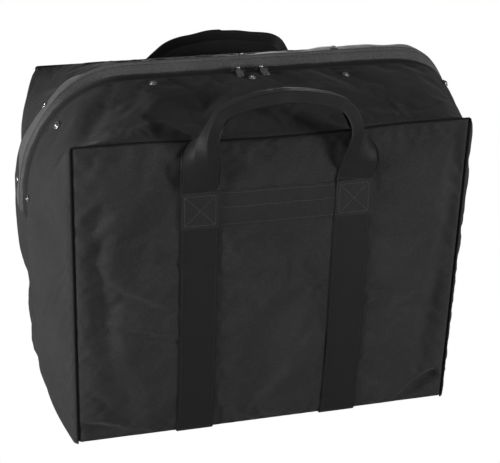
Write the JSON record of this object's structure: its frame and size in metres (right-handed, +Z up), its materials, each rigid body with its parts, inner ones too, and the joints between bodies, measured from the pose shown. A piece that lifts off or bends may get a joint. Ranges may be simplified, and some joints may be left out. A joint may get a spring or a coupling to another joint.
{
  "type": "flight bag",
  "caption": "Boxy black nylon kit bag with a zip round its top, a folded-back snap flap, web handles front and back and webbing straps under the base.",
  "frame": {"origin": "middle of the base, on the floor the bag stands on", "axes": "+X along the length of the bag, -Y is its front with the panel that the zip pulls lie towards, +Z up"},
  "size_m": [0.6594, 0.482, 0.513],
  "materials": {
    "shell_cloth": "matte woven nylon",
    "flap_cloth": "matte woven nylon, coated side out",
    "zip_tape": "matte knitted tape",
    "zip_coil": "nylon coil",
    "zip_metal": "worn nickel",
    "snap_metal": "nickel",
    "snap_cap": "black enamel",
    "webbing": "ribbed nylon webbing",
    "thread": "bonded nylon thread",
    "binding": "twill tape"
  },
  "bodies": {
    "root": {"front_panel": "shell_cloth", "back_panel": "shell_cloth", "bottom_panel": "shell_cloth", "left_end_panel": "shell_cloth", "right_end_panel": "shell_cloth", "front_gusset_left": "shell_cloth", "front_gusset_right": "shell_cloth", "back_gusset_left": "shell_cloth", "back_gusset_right": "shell_cloth", "zip_tapes_left": "zip_tape", "zip_tapes_right": "zip_tape", "zip_coils_left": "zip_coil", "zip_coils_right": "zip_coil", "zip_end_stop_left": "zip_metal", "zip_end_stop_right": "zip_metal", "flap_run_left": "flap_cloth", "flap_run_right": "flap_cloth", "snap_studs_left": "snap_metal", "snap_studs_right": "snap_metal", "snap_sockets_left": "snap_metal", "snap_sockets_right": "snap_metal", "snap_caps_left": "snap_cap", "snap_caps_right": "snap_cap", "strap_left": "webbing", "strap_right": "webbing", "cross_band_front": "webbing", "cross_band_back": "webbing", "box_stitches_front": "thread", "box_stitches_back": "thread", "seam_binding_front": "binding", "seam_binding_back": "binding"},
    "mouth_front": {"front_gusset_top": "shell_cloth", "zip_tape_front": "zip_tape", "zip_tape_held": "zip_tape", "zip_coil_front": "zip_coil", "zip_coil_held": "zip_coil", "snap_studs_top": "snap_metal"},
    "mouth_back": {"back_gusset_top": "shell_cloth", "zip_tape_back": "zip_tape", "zip_coil_back": "zip_coil"},
    "slider_left": {"zip_slider_left": "zip_metal"},
    "slider_right": {"zip_slider_right": "zip_metal"},
    "pull_left": {"zip_pull_left": "zip_metal"},
    "pull_right": {"zip_pull_right": "zip_metal"},
    "flap_rise": {"flap_rise_top": "flap_cloth"},
    "flap_fall": {"flap_fall_top": "flap_cloth", "snap_sockets_top": "snap_metal", "snap_caps_top": "snap_cap"},
    "handle_front": {"handle_front_leg_left": "webbing", "handle_front_leg_right": "webbing", "handle_front_grip": "webbing"},
    "handle_back": {"handle_back_leg_left": "webbing", "handle_back_leg_right": "webbing", "handle_back_grip": "webbing"}
  },
  "joints": [
    {"name": "mouth_open", "type": "hinge", "parent": "root", "child": "mouth_front", "pos_m": [0, -0.1559, 0.45438], "axis": [1, 0, 0], "range_deg": [0, 50]},
    {"name": "mouth_back_open", "type": "hinge", "parent": "root", "child": "mouth_back", "pos_m": [0, 0.1559, 0.45438], "axis": [1, 0, 0], "range_deg": [-50, 0]},
    {"name": "slider_left_run", "type": "slide", "parent": "mouth_front", "child": "slider_left", "axis": [1, 0, 0], "range_m": [-0.138, 0]},
    {"name": "slider_right_run", "type": "slide", "parent": "mouth_front", "child": "slider_right", "axis": [1, 0, 0], "range_m": [0, 0.13]},
    {"name": "pull_left_swing", "type": "hinge", "parent": "slider_left", "child": "pull_left", "pos_m": [-0.013, 0, 0.48787], "axis": [1, 0, 0], "range_deg": [-100, 0]},
    {"name": "pull_right_swing", "type": "hinge", "parent": "slider_right", "child": "pull_right", "pos_m": [0.021, 0, 0.48787], "axis": [1, 0, 0], "range_deg": [-100, 0]},
    {"name": "flap_close", "type": "hinge", "parent": "mouth_back", "child": "flap_rise", "pos_m": [0, 0.013, 0.48313], "axis": [1, 0, 0], "range_deg": [0, 70]},
    {"name": "flap_fall_turn", "type": "hinge", "parent": "flap_rise", "child": "flap_fall", "pos_m": [0, 0.0174, 0.49955], "axis": [1, 0, 0], "range_deg": [0, 139.11]},
    {"name": "handle_front_swing", "type": "hinge", "parent": "root", "child": "handle_front", "pos_m": [0, -0.17029, 0.382], "axis": [1, 0, 0], "range_deg": [0, 150]},
    {"name": "handle_back_swing", "type": "hinge", "parent": "root", "child": "handle_back", "pos_m": [0, 0.17029, 0.382], "axis": [1, 0, 0], "range_deg": [-90, 60]}
  ],
  "couplings": [
    {"joint": "mouth_back_open", "follows": "mouth_open", "ratio": -1},
    {"joint": "flap_fall_turn", "follows": "flap_close", "ratio": 1.9873}
  ]
}
